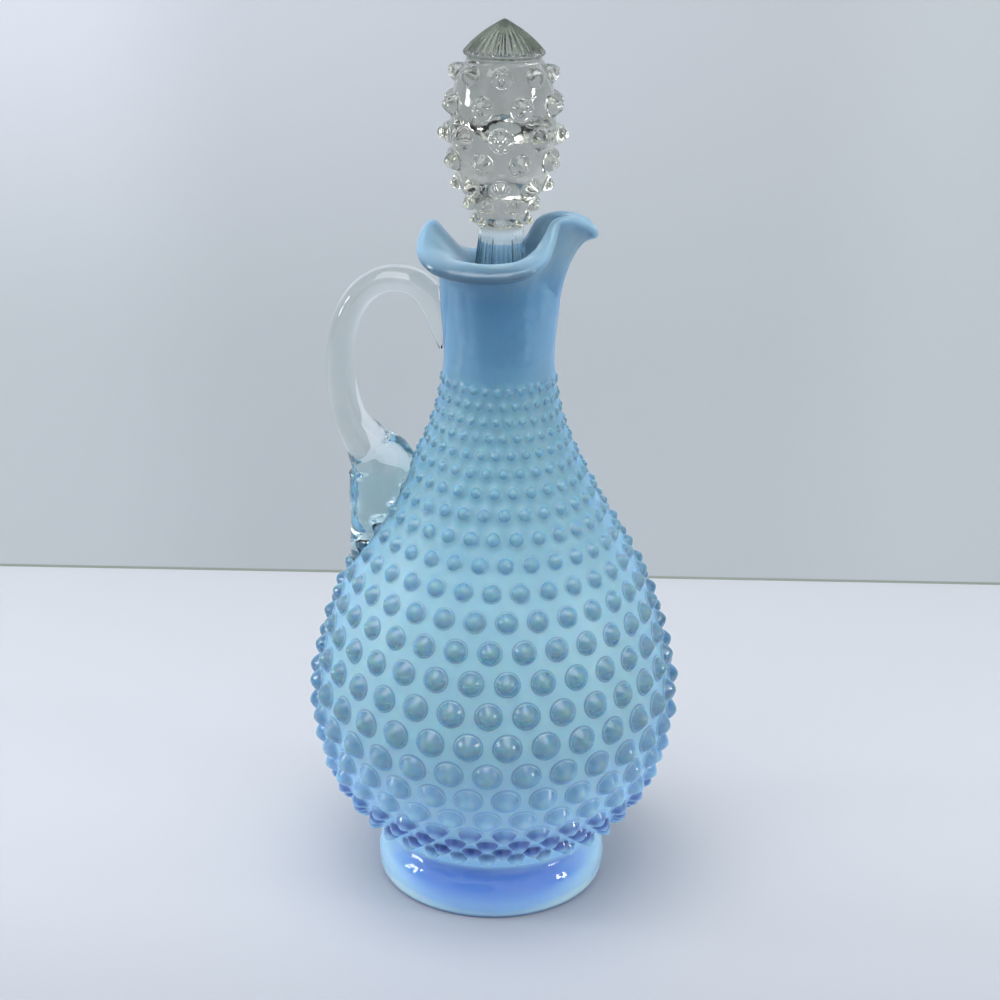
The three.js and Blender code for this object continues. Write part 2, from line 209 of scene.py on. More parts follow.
def catmull_rom(points, t, closed=False, centripetal=False):
    """Points on a smooth line through points, at t from 0 to 1: on each span, the cubic whose end
    slopes are half the chord of the neighbours, or weighted by the root of each chord's length."""
    points = np.asarray(points, float)
    count = len(points)
    spans = count if closed else count - 1
    place = np.clip(np.asarray(t, float), 0, 1) * spans
    span = np.minimum(np.floor(place).astype(int), spans - 1)
    w = (place - span)[..., None]
    if closed:
        a, b, c, d = (points[(span + k) % count] for k in (-1, 0, 1, 2))
    else:
        ends = (2 * points[0] - points[1], 2 * points[-1] - points[-2])
        if not centripetal:
            ends = (points[0], points[-1])
        longer = np.vstack([ends[0], points, ends[1]])
        a, b, c, d = (longer[span + k] for k in range(4))
    if centripetal:
        chords = (b - a, c - b, d - c)
        ab, bc, cd = (np.sqrt(np.linalg.norm(q, axis=-1, keepdims=True)) for q in chords)
        start = bc * ((b - a) / ab - (c - a) / (ab + bc) + (c - b) / bc)
        end = bc * ((c - b) / bc - (d - b) / (bc + cd) + (d - c) / cd)
    else:
        start, end = (c - a) / 2, (d - b) / 2
    return (
        b + start * w + (3 * (c - b) - 2 * start - end) * w**2 + (2 * (b - c) + start + end) * w**3
    )


class Line:
    """A smooth line by arc length: share 0 to 1 of its length gives a point and a unit tangent."""

    def __init__(self, points, closed=False, centripetal=False):
        self.points = points
        self.options = {"closed": closed, "centripetal": centripetal}
        self.t = np.linspace(0, 1, LINE_STEPS + 1)
        placed = catmull_rom(points, self.t, **self.options)
        steps = np.linalg.norm(np.diff(placed, axis=0), axis=1)
        self.arc = np.concatenate([[0], np.cumsum(steps)])
        self.length = self.arc[-1]
        self.placed = placed

    def t_at(self, share):
        return np.interp(np.clip(share, 0, 1) * self.length, self.arc, self.t)

    def at(self, share):
        return catmull_rom(self.points, self.t_at(share), **self.options)

    def tangent(self, share):
        t = self.t_at(share)
        ahead, behind = t + SMALL_STEP, t - SMALL_STEP
        if self.options["closed"]:
            ahead, behind = ahead % 1, behind % 1
        ahead, behind = np.clip(ahead, 0, 1), np.clip(behind, 0, 1)
        step = catmull_rom(self.points, ahead, **self.options)
        step = step - catmull_rom(self.points, behind, **self.options)
        return step / np.linalg.norm(step, axis=-1, keepdims=True)

    def share_at_height(self, z):
        return np.interp(z, self.placed[:, 1], self.arc) / self.length


def revolved(line, share, angle, proud=0.0):
    """The profile's point at share, set out by proud along its normal and turned by angle."""
    share, angle, proud = np.broadcast_arrays(share, angle, proud)
    p, t = line.at(share), line.tangent(share)
    r = p[..., 0] + proud * t[..., 1]
    z = p[..., 1] - proud * t[..., 0]
    return np.stack([r * np.cos(angle), r * np.sin(angle), z], axis=-1)


def bezier(a, b, c, d, t):
    """The cubic from a to d that leaves towards b and arrives from c, at t from 0 to 1."""
    return (1 - t) ** 3 * a + 3 * t * (1 - t) ** 2 * b + 3 * t**2 * (1 - t) * c + t**3 * d


class Shell:
    """Rings and patches of points with the faces between them, welded into one closed mesh.
    reach is 0 at a hob's tip, 1 at its foot, PLAIN off the hobs and INSIDE on the inner wall.
    drop is 1 at a hob's lower edge, -1 at its upper edge, and 0 off the hobs apart from the lip,
    where it rises to 1 at the edge of the outer face."""

    def __init__(self):
        self.points, self.reach, self.drop, self.faces, self.count = [], [], [], [], 0

    def add(self, points, reach=PLAIN, drop=0.0):
        """The points' numbers in the mesh, in the same layout as the points."""
        index = np.arange(self.count, self.count + points[..., 0].size)
        self.count += len(index)
        self.points.append(points.reshape(-1, 3))
        self.reach.append(np.broadcast_to(reach, points.shape[:-1]).reshape(-1))
        self.drop.append(np.broadcast_to(drop, points.shape[:-1]).reshape(-1))
        return index.reshape(points.shape[:-1])

    def quads(self, a, b, c, d):
        """Faces through four arrays of point numbers. A repeated number makes a triangle."""
        self.faces.append(np.stack([x.reshape(-1) for x in (a, b, c, d)], axis=-1))

    def stack(self, rings, below=None, reach=PLAIN, drop=0.0):
        """Bands between rings of points, (rings, columns, 3), and from the ring below."""
        index = self.add(rings, reach, drop)
        if below is not None:
            self.band(below, index[0])
        low, high = index[:-1], index[1:]
        self.quads(low, np.roll(low, -1, 1), np.roll(high, -1, 1), high)
        return index

    def band(self, a, b):
        """The band from ring a to ring b. One may have a whole number of times more points."""
        n = max(len(a), len(b))
        a, b = (np.repeat(ring, n // len(ring)) for ring in (a, b))
        a_next, b_next = np.roll(a, -1), np.roll(b, -1)
        self.quads(a, a_next, b_next, b)

    def fan(self, ring, point, outwards):
        """Triangles from a ring to one point, below it if outwards, or above it."""
        centre = np.full(len(ring), self.add(np.array([point], float))[0])
        nearer, further = (np.roll(ring, -1), ring) if outwards else (ring, np.roll(ring, -1))
        self.quads(centre, nearer, further, further)

    def build(self, name, weld=True):
        """The mesh object, in metres, with its points welded and its faces smooth."""
        faces = np.concatenate(self.faces)
        corners = np.sort(faces, axis=1)
        triangle = (np.diff(corners, axis=1) == 0).any(axis=1)
        lists = faces[~triangle].tolist()
        lists += [list(dict.fromkeys(face)) for face in faces[triangle].tolist()]
        mesh = bpy.data.meshes.new(name)
        mesh.from_pydata(np.concatenate(self.points) * MM, [], [f for f in lists if len(f) > 2])
        for key, numbers in (("reach", self.reach), ("drop", self.drop)):
            attribute = mesh.attributes.new(key, "FLOAT", "POINT")
            attribute.data.foreach_set("value", np.concatenate(numbers).astype(np.float32))
        welded = bmesh.new()
        welded.from_mesh(mesh)
        if weld:
            bmesh.ops.remove_doubles(welded, verts=welded.verts, dist=WELD)
        loose = [v for v in welded.verts if not v.link_faces]
        bmesh.ops.delete(welded, geom=loose, context="VERTS")
        open_edges = sum(1 for e in welded.edges if not e.is_manifold)
        welded.to_mesh(mesh)
        welded.free()
        mesh.shade_smooth()
        if open_edges:
            raise RuntimeError(f"{name} isn't closed: {open_edges} edges without two faces")
        made = bpy.data.objects.new(name, mesh)
        bpy.context.scene.collection.objects.link(made)
        return made


def hob_rise(reach):
    """A hob's height share: a rounded cone, 1 less a power of reach, and 0 from reach 1 on."""
    return 1 - np.minimum(reach, 1) ** HOB_ROUNDING


def hob_lattice(line, rows, around, stagger, base, height, least=0):
    """Each row's share and angles, its hobs' foot radii across and along the skin and their height,
    and the shares between the rows. shift is how far a hexagonal cell's corners stand off those
    shares, a sixth of a row's gap. least is the smallest height of the lowest rows."""
    rows = np.asarray(rows, float)
    first, last = rows[1] - rows[0], rows[-1] - rows[-2]
    low, high = max(0, rows[0] - END_MARGIN * first), min(1, rows[-1] + END_MARGIN * last)
    bounds = np.concatenate([[low], (rows[1:] + rows[:-1]) / 2, [high]])
    gaps = np.diff(bounds)
    pitch = TURN * line.at(rows)[:, 0] / around
    wide = base * pitch
    tall = np.minimum(wide, 0.5 * gaps * line.length)
    low_rows = np.arange(len(rows)) < LOW_ROWS
    rise = np.where(low_rows, np.maximum(height * pitch, least), height * pitch)
    shift = np.concatenate([[0], gaps[:-1] / 6, [0]])
    k = np.arange(around)[None, :]
    parity = ((np.arange(len(rows)) + stagger) % 2)[:, None]
    angles = (2 * k + parity) * math.pi / around
    return {
        "rows": rows, "bounds": bounds, "shift": shift, "angles": angles, "wide": wide,
        "tall": tall, "rise": rise,
    }


def add_hobs(shell, line, lattice, around, reaches, per_side, which):
    """Hobs as round patches, one per hexagonal cell of a staggered lattice over a revolved line:
    rings of reach around each centre, raised along the normal by hob_rise, then the outline."""
    rows = np.flatnonzero(which)
    half = math.pi / around
    low, high = lattice["bounds"][rows], lattice["bounds"][rows + 1]
    down, up = lattice["shift"][rows], lattice["shift"][rows + 1]
    corner_share = [low + down, high - up, high + up, high - up, low + down, low - down]
    corner_share = np.stack(corner_share, axis=1)
    corner_angle = np.array([half, half, 0, -half, -half, 0])
    blend = np.arange(per_side) / per_side
    next_share = np.roll(corner_share, -1, 1)
    next_angle = np.roll(corner_angle, -1)
    edge_share = corner_share[:, :, None] * (1 - blend) + next_share[:, :, None] * blend
    edge_angle = corner_angle[:, None] * (1 - blend) + next_angle[:, None] * blend
    count = 6 * per_side
    edge_share = edge_share.reshape(len(rows), 1, 1, count)
    edge_angle = edge_angle.reshape(1, 1, 1, count)
    turn = (np.arange(count) / count * TURN - math.pi / 6)[None, None, None, :]
    reach = np.asarray(reaches, float)[None, None, :, None]
    wide, tall, high_rise, middle = (
        lattice[key][rows][:, None, None, None] for key in ("wide", "tall", "rise", "rows")
    )
    radius = line.at(middle)[..., 0]
    centre = lattice["angles"][rows][:, :, None, None]
    share = middle + reach * tall * np.sin(turn) / line.length
    angle = centre + reach * wide * np.cos(turn) / radius
    rise = high_rise * hob_rise(reach)
    share, angle, rise = np.broadcast_arrays(share, angle, rise)
    inner = shell.add(revolved(line, share, angle, rise), reach, -reach * np.sin(turn))
    tip_share, tip_rise = lattice["rows"][rows][:, None], lattice["rise"][rows][:, None]
    tips = shell.add(revolved(line, tip_share, lattice["angles"][rows], tip_rise), 0.0)
    out_share, out_angle = np.broadcast_arrays(edge_share, centre + edge_angle)
    outline = shell.add(revolved(line, out_share, out_angle))
    rings = np.concatenate([inner, outline], axis=2)
    near, far = rings[:, :, :-1], rings[:, :, 1:]
    shell.quads(near, far, np.roll(far, -1, 3), np.roll(near, -1, 3))
    first = rings[:, :, 0]
    centres = np.broadcast_to(tips[:, :, None], first.shape)
    after = np.roll(first, -1, 2)
    shell.quads(centres, first, after, after)


def body_rows(line):
    """The rows' shares from the bottom up: steps down from the top row by a smooth table."""
    steps = natural_cubic(ROW_AT, ROW_STEP, np.arange(HOB_ROWS - 1))
    top = line.share_at_height(TOP_ROW_Z)
    return (top - np.concatenate([[0], np.cumsum(steps)]) / line.length)[::-1]


def natural_cubic(x, y, at):
    """A cubic spline through a table, with the end slopes free."""
    x, y = np.asarray(x, float), np.asarray(y, float)
    h = np.diff(x)
    n = len(x)
    a = np.zeros((n, n))
    b = np.zeros(n)
    a[0, 0] = a[-1, -1] = 1
    for i in range(1, n - 1):
        a[i, i - 1 : i + 2] = h[i - 1], 2 * (h[i - 1] + h[i]), h[i]
        b[i] = 3 * ((y[i + 1] - y[i]) / h[i] - (y[i] - y[i - 1]) / h[i - 1])
    c = np.linalg.solve(a, b)
    i = np.clip(np.searchsorted(x, at, side="right") - 1, 0, n - 2)
    d = at - x[i]
    slope = (y[i + 1] - y[i]) / h[i] - h[i] * (2 * c[i] + c[i + 1]) / 3
    return y[i] + slope * d + c[i] * d**2 + (c[i + 1] - c[i]) / (3 * h[i]) * d**3


def circles(columns, profile):
    """Level circles of a profile of radius and height, as rings of points."""
    angle = np.arange(columns) / columns * TURN
    r, z = np.asarray(profile, float).T[:, :, None]
    return np.stack(np.broadcast_arrays(r * np.cos(angle), r * np.sin(angle), z), axis=-1)


def lip_fold():
    """The drop of each ring of the lip, from the outer face over the edge to the inner face. It
    masks the painted shade under the lip's edge.
    """
    outer, edge, inner = LIP_RINGS
    before, after = LIP_SHADE_RINGS
    turns = [outer - before, outer, outer + edge, outer + edge + after]
    return np.interp(np.arange(outer + edge + inner), turns, [0, 1, LIP_SHADE_SHARE, 0])[:, None]


def lip(columns, thickness):
    """The lip's outer face, rounded edge and inner face as rings of points: cubics from the neck
    and from the seat to the two sides of a half circle that is carried along the rim."""
    rim = Line([p[:3] for p in RIM], closed=True, centripetal=True)
    share = np.arange(columns) / columns
    t = rim.t_at(share)
    middle, along = rim.at(share), rim.tangent(share)
    tilt = np.radians(catmull_rom([[p[3]] for p in RIM], t, closed=True))
    level = np.stack([along[:, 1], -along[:, 0], 0 * share], axis=-1)
    level /= np.linalg.norm(level, axis=1, keepdims=True)
    up = np.array([0.0, 0.0, 1.0])
    out = level * np.cos(tilt) + up * np.sin(tilt)
    over = up * np.cos(tilt) - level * np.sin(tilt)
    half = thickness / 2
    angle = share * TURN
    radial = np.stack([np.cos(angle), np.sin(angle), 0 * angle], axis=-1)
    neck = radial * NECK_TOP[0] + up * NECK_TOP[1]
    seat = radial * SEAT_TOP[0] + up * SEAT_TOP[1]
    throat = radial * (SEAT_TOP[0] + THROAT_RUN[0]) + up * (SEAT_TOP[1] + THROAT_RUN[1])
    under, top = middle - over * half, middle + over * half
    t_out, t_edge, t_in = (np.linspace(0, 1, rings + 1)[1:, None, None] for rings in LIP_RINGS)
    outer = bezier(neck, neck + up * NECK_RUN, under - out * OUTER_RUN, under, t_out)
    turn = t_edge * math.pi
    edge = middle - over * half * np.cos(turn) + out * half * np.sin(turn)
    inner = bezier(seat, throat, top - out * INNER_RUN, top, 1 - t_in)
    return outer, edge, inner


def ribbed(sections, columns):
    """Rings of sections of height, radius and rib depth: the radius dips by the depth in a cosine
    wave between the ribs."""
    z, r, depth = np.array(sections, float).T[:, :, None]
    angle = (np.arange(columns) / columns * TURN)[None, :]
    r = r - depth * (0.5 - 0.5 * np.cos(angle * RIBS))
    return np.stack([r * np.cos(angle), r * np.sin(angle), z + 0 * angle], axis=-1)


def smooth_profile(points, steps):
    """A profile's points at equal steps along the smooth line through them."""
    return Line(points).at(np.linspace(0, 1, steps))


def hob_relief(line, lattice, share, angle):
    """The hobs' height above the skin at any share and angle: that of the nearest hob."""
    rows, r = lattice["rows"], line.at(share)[..., 0]
    best = np.zeros(np.shape(share))
    for i, row in enumerate(rows):
        turn = (angle - lattice["angles"][i, 0]) % (TURN / lattice["angles"].shape[1])
        turn = np.minimum(turn, TURN / lattice["angles"].shape[1] - turn)
        along = (share - row) * line.length / lattice["tall"][i]
        reach = np.hypot(along, turn * r / lattice["wide"][i])
        best = np.maximum(best, lattice["rise"][i] * hob_rise(reach))
    return best


def body_skin(sizes):
    """The body's skin as a line, and the lattice of its hobs."""
    skin = Line(BODY_SKIN)
    rows = body_rows(skin)
    row = np.arange(len(rows))
    base = sizes.hob_base * np.interp(row, *BROADER)
    height = sizes.hob_height * np.interp(row, *HIGHER)
    return skin, hob_lattice(skin, rows, HOBS_AROUND, 1, base, height, LOW_RISE)


def lift_off(points, line, lattice, gap):
    """Points with those inside the body's skin or hobs set out along the skin's normal to its
    relief plus a gap: each point's nearest place on the profile gives its height above the skin."""
    flat = points.reshape(-1, 3)
    r, angle = np.hypot(flat[:, 0], flat[:, 1]), np.arctan2(flat[:, 1], flat[:, 0])
    shares = np.linspace(0, 1, RELIEF_STEPS)
    place, tangent = line.at(shares), line.tangent(shares)
    away = (r[:, None] - place[:, 0]) ** 2 + (flat[:, 2, None] - place[:, 1]) ** 2
    near = away.argmin(axis=1)
    step = np.stack([r, flat[:, 2]], axis=1) - place[near]
    above = step[:, 0] * tangent[near, 1] - step[:, 1] * tangent[near, 0]
    relief = hob_relief(line, lattice, shares[near], angle) + gap
    lifted = revolved(line, shares[near], angle, relief)
    low = (above < relief)[:, None]
    return np.where(low, lifted, flat).reshape(points.shape)


def put_in_place(piece, body, node, material):
    """Gives a finished piece its material, parents it to its body's empty and hides its CAD part.
    """
    piece.data.materials.append(material)
    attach(piece, body)
    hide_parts(node)


class Value:
    """A value in a shader. Sums on it add Math nodes, with numbers or other values."""

    def __init__(self, shader, socket):
        self.shader = shader
        self.socket = socket

    def math(self, operation, *values):
        return self.shader.add("ShaderNodeMath", {"operation": operation}, dict(enumerate(values)))

    def __add__(self, other):
        return self.math("ADD", self, other)

    def __sub__(self, other):
        return self.math("SUBTRACT", self, other)

    def __rsub__(self, other):
        return self.math("SUBTRACT", other, self)

    def __mul__(self, other):
        return self.math("MULTIPLY", self, other)

    def __abs__(self):
        return self.math("ABSOLUTE", self)

    __radd__ = __add__
    __rmul__ = __mul__


class Shader:
    """The node tree of a material or world. add makes any node from its type, settings and
    socket values, and gives one of its outputs."""

    def __init__(self, owner):
        self.owner = owner
        owner.use_nodes = True
        self.tree = owner.node_tree
        self.tree.nodes.clear()

    def add(self, kind, settings=None, sockets=None, output=0):
        node = self.tree.nodes.new(kind)
        for key, value in (settings or {}).items():
            setattr(node, key, value)
        for key, value in (sockets or {}).items():
            if isinstance(value, Value):
                self.tree.links.new(value.socket, node.inputs[key])
            else:
                node.inputs[key].default_value = value
        return Value(self, node.outputs[output])

    def place(self):
        """The place on the object, in metres. Object coordinates are output 3."""
        return self.add("ShaderNodeTexCoord", output=3)

    def axis(self, vector, number):
        """One of a vector's x, y and z, numbered 0 to 2."""
        return self.add("ShaderNodeSeparateXYZ", sockets={0: vector}, output=number)

    def facing(self):
        """0 where the surface faces the view and 1 where it is edge on."""
        return self.add("ShaderNodeLayerWeight", sockets={"Blend": 0.5}, output=1)

    def ramp(self, value, low, high):
        """A smooth step from 0 at low to 1 at high. It falls where low is the larger of the two."""
        sockets = {"Value": value, "From Min": low, "From Max": high}
        return self.add("ShaderNodeMapRange", {"interpolation_type": "SMOOTHSTEP"}, sockets)

    def band(self, value, start, full, fade, end):
        """A smooth step up from start to full, and down again from fade to end."""
        return self.ramp(value, start, full) * self.ramp(value, end, fade)

    def mix(self, factor, a, b):
        """Colour a, or b where factor is 1. Its colour sockets are numbers 6 and 7."""
        a, b = (colour if isinstance(colour, Value) else (*colour, 1.0) for colour in (a, b))
        return self.add("ShaderNodeMix", {"data_type": "RGBA"}, {0: factor, 6: a, 7: b}, output=2)

    def layers(self, colour, *coats):
        """A colour with others laid over it in turn, each given after its mask."""
        for mask, coat in coats:
            colour = self.mix(mask, colour, coat)
        return colour

    def waves(self, scale, detail, strength, distance):
        """A bump of soft noise, whose waves are about 1 / scale metres apart."""
        sockets = {"Vector": self.place(), "Scale": scale, "Detail": detail}
        height = self.add("ShaderNodeTexNoise", sockets=sockets)
        sockets = {"Strength": strength, "Distance": distance, "Height": height}
        return self.add("ShaderNodeBump", sockets=sockets)

    def glass(self, tint, roughness, bump):
        """Clear glass with a tint."""
        return self.add("ShaderNodeBsdfPrincipled", sockets={
            "Base Color": tint, "Roughness": roughness, "IOR": GLASS_IOR, "Normal": bump,
            "Transmission Weight": 1.0,
        })

    def paint(self, colour, roughness):
        """A dull painted surface."""
        return self.add("ShaderNodeBsdfPrincipled", sockets={
            "Base Color": colour, "Roughness": roughness, "Specular IOR Level": 0.3,
        })

    def finish(self, surface, output="ShaderNodeOutputMaterial"):
        node = self.tree.nodes.new(output)
        self.tree.links.new(surface.socket, node.inputs["Surface"])
        return self.owner


def opal_masks(s):
    """The body's zones as masks from 0 to 1, from height, from the hobs' reach and drop, and from
    how far the surface turns away. The lowest rows' hobs are violet above, and the rest have
    painted shade on their lower flanks and in the crease at their foot. The lip shade is painted
    shade under the lip's edge, left of the pouring lip. The waist is violet glass with painted
    shade under the belly, and a pale line low on the foot is a painted highlight."""
    place = s.place()
    x, z = s.axis(place, 0), s.axis(place, 2)
    reach, drop = (
        s.add("ShaderNodeAttribute", {"attribute_name": key}, output=2) for key in ("reach", "drop")
    )
    facing = s.facing()
    zone = SimpleNamespace(**{key: s.ramp(z, *fade) for key, fade in ZONE_FADES.items()})
    zone.hob = s.ramp(reach, 1.0, 0.82)
    zone.tip = s.ramp(reach, 0.65, 0.25)
    zone.inside = s.ramp(reach, 2.5, 3.5)
    zone.edge = s.ramp(facing, 0.35, 0.95)
    # Violet where the glass is thick, with painted shade where the waist lies under the belly.
    zone.waist = s.band(z, *WAIST_BAND) * s.ramp(facing, 0.4, 0.1)
    zone.foot_side = zone.foot * s.ramp(facing, 0.2, 0.6)
    # A painted highlight: a pale line low on the foot's sides.
    zone.foot_highlight = zone.foot_side * s.band(z, *FOOT_HIGHLIGHT_BAND)
    # Painted shade: a dark ring in the crease at a hob's foot, and darker lower flanks.
    zone.crease = s.band(reach, 0.9, 1.0, 1.04, 1.12)
    zone.ring = 0.85 * zone.crease * (1 - zone.shoulder) * (1 - 0.6 * zone.low)
    lower = s.ramp(drop, -0.1, 0.75) * (1 - 0.8 * zone.shoulder) * (1 - 0.15 * zone.low)
    zone.lower = zone.hob * lower
    upper = s.ramp(drop, 0.4, -0.2) * (1 - 0.6 * zone.tip)
    zone.violet = 0.85 * zone.hob * s.band(z, *VIOLET_BAND) * upper
    # Painted shade under the lip's edge, left of the pouring lip.
    zone.fold = s.ramp(drop, 0.0, 0.25) * s.band(z, *LIP_SHADE_BAND) * s.ramp(x, 0.018, 0.006)
    return zone


def opal_milk(s, zone, colours):
    """The colour of the milky part of the glass, with painted shade on the hobs' lower flanks,
    in the crease at their foot, in the waist and under the lip's edge, and a painted highlight
    low on the foot.
    """
    hobs = s.layers(
        colours.flank, (zone.tip, colours.tip),
        (zone.low * (0.4 + 0.6 * zone.tip), colours.low),
        (0.8 * zone.lower, colours.shaded_flank), (zone.violet, colours.under),
    )
    lining = s.layers(
        colours.lining, (zone.shoulder, colours.neck_lining), (zone.low, colours.low_lining),
    )
    turned = 0.75 * zone.edge * (1 - zone.rim) * (1 - 0.7 * zone.foot) * (1 - 0.8 * zone.violet)
    return s.layers(
        colours.belly, (zone.shoulder, colours.shoulder), (zone.low, colours.low),
        (zone.neck, colours.neck), (zone.rim, colours.rim), (zone.foot, colours.foot),
        (zone.foot_side, colours.foot_side), (zone.waist, colours.waist),
        (0.6 * zone.foot_highlight, colours.foot_highlight), (0.6 * zone.sole, colours.waist),
        (zone.hob * (1 - 0.8 * zone.shoulder), hobs), (zone.ring, colours.shaded_flank),
        (turned, colours.edge), (0.9 * zone.fold, colours.shade_under_lip), (zone.inside, lining),
    )


def opal_tint(s, zone, colours):
    """The tint of the clear part of the glass, darkened as painted shade on the hobs' lower
    flanks and in the crease at their foot.
    """
    return s.layers(
        colours.belly_glass, (zone.hob * (1 - 0.7 * zone.shoulder), colours.hob_glass),
        (zone.low, colours.low_glass),
        (zone.ring + 0.7 * zone.lower * (1 - zone.crease), colours.shade_glass),
        (zone.violet, colours.under), (zone.neck, colours.neck_glass),
    )


def opal_glass(colours):
    """Blue-green glass with milk in it. The milk is thickest in the lip and foot and where the
    surface turns away. The hobs are clearer, with greenish tips and painted shade on their lower
    flanks, and those of the lowest rows are violet above. The low belly has a painted glow, an
    emission. The skin between the hobs is dull from the mould."""
    s = Shader(bpy.data.materials.new("opal_glass"))
    zone = opal_masks(s)
    outer = 0.48 + 0.25 * zone.rim + 0.35 * zone.foot + 0.3 * zone.edge + 0.2 * zone.low
    outer = outer - 0.26 * zone.hob * (1 - 0.6 * zone.shoulder) * (1 - 0.3 * zone.low)
    milk_share = outer * (1 - zone.inside) + (0.92 - 0.6 * zone.neck) * zone.inside
    roughness = 0.03 + 0.42 * (1 - zone.hob) * (1 - zone.neck) * (1 - zone.foot)
    # A painted glow: emission on the low belly standing in for light that the glass carries down.
    painted_glow = zone.low * (1 - zone.foot) * (1 - zone.inside) * (1 - zone.violet)
    bump = s.waves(240.0, 1.0, 0.3, 0.001)
    milk = s.add("ShaderNodeBsdfPrincipled", sockets={
        "Base Color": opal_milk(s, zone, colours), "Roughness": roughness, "IOR": GLASS_IOR,
        "Emission Color": s.mix(painted_glow, (0, 0, 0), colours.painted_glow), "Emission Strength": 1.0,
        "Subsurface Weight": 1.0, "Subsurface Radius": MILK_DEPTH, "Subsurface Scale": 1.0,
        "Normal": bump,
    })
    clear = s.glass(opal_tint(s, zone, colours), roughness, bump)
    return s.finish(s.add("ShaderNodeMixShader", sockets={0: milk_share, 1: clear, 2: milk}))


def handle_glass(colours):
    """Clear glass of the handle, with slow waves left by the hand, bluer in the thick pad."""
    s = Shader(bpy.data.materials.new("handle_glass"))
    tint = s.mix(s.ramp(s.axis(s.place(), 2), 0.162, 0.15), colours.clear, colours.pad)
    return s.finish(s.glass(tint, 0.01, s.waves(70.0, 0.0, 0.5, 0.002)))


def stopper_glass(colours):
    """Pressed glass of the stopper, greener in the thick cap and frosted on the ground peg."""
    s = Shader(bpy.data.materials.new("stopper_glass"))
    z = s.axis(s.place(), 2)
    ground = s.ramp(z, 0.2195, 0.2175)
    tint = s.layers(
        colours.pressed, (s.ramp(z, 0.2938, 0.2965), colours.cap),
        (s.ramp(z, 0.2385, 0.2365), colours.shank), (ground, colours.ground),
    )
    return s.finish(s.glass(tint, 0.01 + 0.35 * ground, s.waves(260.0, 1.0, 0.15, 0.001)))


def table_top(colours):
    """Dull pale table, with painted shade towards the viewer."""
    s = Shader(bpy.data.materials.new("table_top"))
    near = s.ramp(s.axis(s.place(), 1), 0.05, -0.2)
    return s.finish(s.paint(s.mix(near, colours.floor, colours.shaded_floor_near), 0.45))


def backdrop_paint(colours):
    """Dull wall, with painted light at its upper left, painted shade in its middle behind the
    decanter and a thin line of painted shade along its foot, where it meets the table. It is
    clear from behind, so that the decanter shows from there too."""
    s = Shader(bpy.data.materials.new("backdrop_paint"))
    place = s.place()
    x, z = s.axis(place, 0), s.axis(place, 2)
    middle = s.ramp(abs(x), 0.21, 0.12)
    # Painted light at the upper left, painted shade behind the decanter and along the foot.
    colour = s.layers(
        colours.wall, (s.ramp(z, 0.1, 0.3) * s.ramp(x, 0.35, -0.25), colours.painted_wall_light),
        (0.3 * middle, colours.painted_wall_shade), (s.ramp(z, 0.0016, 0.0011), colours.wall_joint_shade),
    )
    behind = s.add("ShaderNodeNewGeometry", output=6)
    clear = s.add("ShaderNodeBsdfTransparent")
    sockets = {0: behind, 1: s.paint(colour, 0.8), 2: clear}
    return s.finish(s.add("ShaderNodeMixShader", sockets=sockets))


def room_light(world, colours):
    """The pale room around: darker at the far left and right, though not to the camera, and with
    one dark patch where the viewer stands."""
    s = Shader(world)
    towards = s.add("ShaderNodeTexCoord")
    x, z = s.axis(towards, 0), s.axis(towards, 2)
    sides = s.ramp(abs(x), 0.7, 0.92) * s.ramp(z, 0.5, 0.25)
    sockets = {0: towards, 1: VIEWER}
    near = s.add("ShaderNodeVectorMath", {"operation": "DOT_PRODUCT"}, sockets, output=1)
    viewer = s.ramp(near, math.cos(math.radians(26)), math.cos(math.radians(18)))
    seen = s.add("ShaderNodeLightPath")
    colour = s.layers(
        colours.room, (sides * (1 - seen), colours.room_sides), (viewer, colours.room_viewer),
    )
    light = s.add("ShaderNodeBackground", sockets={"Color": colour, "Strength": 1.0})
    s.finish(light, "ShaderNodeOutputWorld")


class DecanterSizes(bpy.types.PropertyGroup):
    """Sizes that can be changed without moving a CAD part."""

    hob_base: FloatProperty(
        name="Hob base", description="A hob's foot radius as a share of the pitch around",
        default=0.345, min=0.2, max=0.45, subtype="FACTOR",
    )
    hob_height: FloatProperty(
        name="Hob height", description="A hob's height as a share of the pitch around",
        default=0.28, min=0.05, max=0.285, subtype="FACTOR",
    )
    lip_thickness: FloatProperty(
        name="Lip thickness", description="Thickness of the glass at the rounded rim, in mm",
        default=3.8, min=2, max=5,
    )
    seat_gap: FloatProperty(
        name="Seat gap", description="Gap around the stopper's ground peg, in mm",
        default=0.3, min=0.1, max=0.5,
    )


def colour_prop(name, description, default):
    """A colour that the panel shows."""
    return FloatVectorProperty(
        name=name, description=description, default=default, subtype="COLOR", min=0, max=1,
    )


